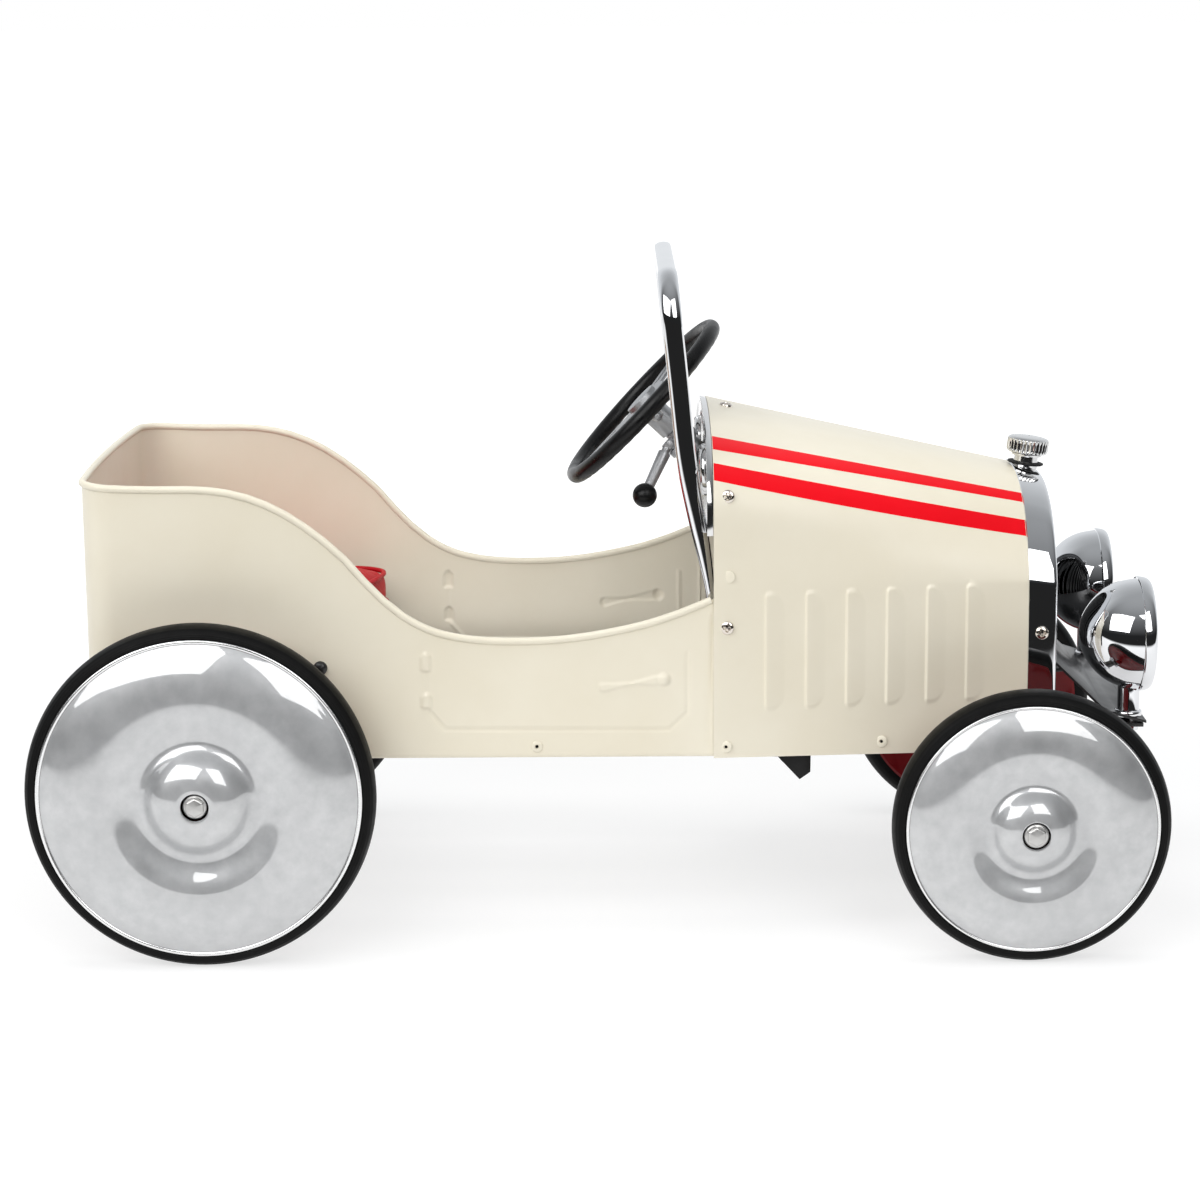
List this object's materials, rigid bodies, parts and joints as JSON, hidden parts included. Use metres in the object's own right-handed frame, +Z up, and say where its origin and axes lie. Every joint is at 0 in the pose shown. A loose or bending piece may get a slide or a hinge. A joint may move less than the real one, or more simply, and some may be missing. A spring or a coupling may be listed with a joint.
{
  "type": "pedal car",
  "caption": "Child's vintage-style pedal car: pressed steel tub, louvred bonnet, chrome nose and windscreen hoop, disc wheels, treadle drive and working steering",
  "frame": {"origin": "on the floor, under the middle of the overall box of the car", "axes": "+X forward along the car, +Y to the driver's left, +Z up"},
  "size_m": [0.8, 0.443, 0.4805],
  "materials": {
    "body_paint": "satin cream enamel",
    "chrome": "polished",
    "black_plastic": "satin black moulding",
    "gauge_face": "plain gloss dial",
    "lamp_glass": "clear lens",
    "black_frame": "black powder coat",
    "zinc_steel": "zinc plated",
    "pedal_rubber": "matt black",
    "red_upholstery": "soft satin vinyl",
    "rim_rubber": "satin black",
    "satin_silver": "satin silver",
    "tyre": "satin black solid rubber",
    "red_disc": "dark red enamel",
    "satin_cover": "satin silver dish",
    "screw_nickel": "nickel plated",
    "rivet_paint": "cream enamel",
    "black_bolt": "black"
  },
  "bodies": {
    "chassis": {"tub": "body_paint", "bonnet": "body_paint", "front_apron": "black_frame", "radiator_surround": "chrome", "radiator_grille": "black_plastic", "radiator_cap": "chrome", "dashboard_panel": "chrome", "gauge_bezels": "chrome", "gauge_faces": "gauge_face", "windscreen_frame": "chrome", "headlight_shell_right": "chrome", "headlight_shell_left": "chrome", "headlight_bezels": "chrome", "headlight_lenses": "lamp_glass", "headlight_posts": "chrome", "headlight_bracket": "black_frame", "chassis_frame": "black_frame", "front_axle_beam": "black_frame", "pedal_hangers": "black_frame", "pedal_pivot_rod": "zinc_steel", "seat_pan": "black_frame", "seat_cushion": "red_upholstery", "column_bearings": "black_plastic", "column_tube": "satin_silver", "lever_clamp": "satin_silver", "body_screws": "screw_nickel", "pop_rivets": "rivet_paint", "seat_bolts": "black_bolt"},
    "steering_wheel": {"steering_rim": "rim_rubber", "steering_spokes": "satin_silver", "steering_hub": "satin_silver", "steering_column": "zinc_steel"},
    "column_lever": {"hand_lever": "satin_silver", "lever_ball": "black_plastic"},
    "right_knuckle": {"knuckle_right": "zinc_steel", "cap_nut_front_right": "satin_silver"},
    "left_knuckle": {"knuckle_left": "zinc_steel", "cap_nut_front_left": "satin_silver"},
    "track_rod": {"tie_rod": "zinc_steel"},
    "front_right_wheel": {"tyre_front_right": "tyre", "wheel_disc_front_right": "red_disc", "wheel_cover_front_right": "satin_cover"},
    "front_left_wheel": {"tyre_front_left": "tyre", "wheel_disc_front_left": "red_disc", "wheel_cover_front_left": "satin_cover"},
    "rear_right_wheel": {"tyre_rear_right": "tyre", "wheel_disc_rear_right": "red_disc", "wheel_cover_rear_right": "satin_cover"},
    "rear_left_wheel": {"tyre_rear_left": "tyre", "wheel_disc_rear_left": "red_disc", "wheel_cover_rear_left": "satin_cover"},
    "rear_crank": {"crank_axle": "zinc_steel", "cap_nuts_rear": "satin_silver"},
    "right_push_rod": {"push_rod_right": "zinc_steel"},
    "left_push_rod": {"push_rod_left": "zinc_steel"},
    "right_pedal": {"pedal_lever_right": "black_frame", "pedal_pad_right": "pedal_rubber"},
    "left_pedal": {"pedal_lever_left": "black_frame", "pedal_pad_left": "pedal_rubber"}
  },
  "joints": [
    {"name": "steering", "type": "hinge", "parent": "chassis", "child": "steering_wheel", "pos_m": [0.0343, 0, 0.3714], "axis": [-0.7266, 0, 0.6871], "range_deg": [-25, 25]},
    {"name": "knuckle_turn_right", "type": "hinge", "parent": "chassis", "child": "right_knuckle", "pos_m": [0.3025, -0.15, 0.0975], "axis": [0, 0, 1], "range_deg": [-25, 25]},
    {"name": "knuckle_turn_left", "type": "hinge", "parent": "chassis", "child": "left_knuckle", "pos_m": [0.3025, 0.15, 0.0975], "axis": [0, 0, 1], "range_deg": [-25, 25]},
    {"name": "tie_rod_pin", "type": "hinge", "parent": "right_knuckle", "child": "track_rod", "pos_m": [0.2705, -0.15, 0.097], "axis": [0, 0, 1], "range_deg": [-25, 25]},
    {"name": "wheel_spin_front_right", "type": "hinge", "parent": "right_knuckle", "child": "front_right_wheel", "pos_m": [0.3025, -0.188, 0.0975], "axis": [0, 1, 0], "continuous": true},
    {"name": "wheel_spin_front_left", "type": "hinge", "parent": "left_knuckle", "child": "front_left_wheel", "pos_m": [0.3025, 0.188, 0.0975], "axis": [0, 1, 0], "continuous": true},
    {"name": "pedal_right_swing", "type": "hinge", "parent": "chassis", "child": "right_pedal", "pos_m": [0.106, -0.058, 0.235], "axis": [0, 1, 0], "range_deg": [0, 34]},
    {"name": "pedal_left_swing", "type": "hinge", "parent": "chassis", "child": "left_pedal", "pos_m": [0.106, 0.058, 0.235], "axis": [0, 1, 0], "range_deg": [-34, 0]},
    {"name": "crank_turn", "type": "hinge", "parent": "chassis", "child": "rear_crank", "pos_m": [-0.2772, 0, 0.1228], "axis": [0, 1, 0], "range_deg": [0, 180]},
    {"name": "push_rod_pin_right", "type": "hinge", "parent": "rear_crank", "child": "right_push_rod", "pos_m": [-0.2412, -0.05, 0.1228], "axis": [0, 1, 0], "range_deg": [-180, 0]},
    {"name": "push_rod_pin_left", "type": "hinge", "parent": "rear_crank", "child": "left_push_rod", "pos_m": [-0.3132, 0.05, 0.1228], "axis": [0, 1, 0], "range_deg": [-180, 0]},
    {"name": "wheel_spin_rear_right", "type": "hinge", "parent": "rear_crank", "child": "rear_right_wheel", "pos_m": [-0.2772, -0.188, 0.1228], "axis": [0, 1, 0], "continuous": true},
    {"name": "wheel_spin_rear_left", "type": "hinge", "parent": "rear_crank", "child": "rear_left_wheel", "pos_m": [-0.2772, 0.188, 0.1228], "axis": [0, 1, 0], "continuous": true},
    {"name": "hand_lever_swing", "type": "hinge", "parent": "chassis", "child": "column_lever", "pos_m": [0.05863, -0.014, 0.336], "axis": [-0.7266, 0, 0.6871], "range_deg": [-15, 15]}
  ],
  "couplings": [
    {"joint": "knuckle_turn_right", "follows": "steering", "ratio": 1},
    {"joint": "knuckle_turn_left", "follows": "steering", "ratio": 1},
    {"joint": "tie_rod_pin", "follows": "steering", "ratio": -1},
    {"joint": "pedal_left_swing", "follows": "pedal_right_swing", "ratio": -1},
    {"joint": "crank_turn", "follows": "pedal_right_swing", "ratio": 5.2941},
    {"joint": "push_rod_pin_right", "follows": "pedal_right_swing", "ratio": -5.2941},
    {"joint": "push_rod_pin_left", "follows": "pedal_right_swing", "ratio": -5.2941}
  ]
}
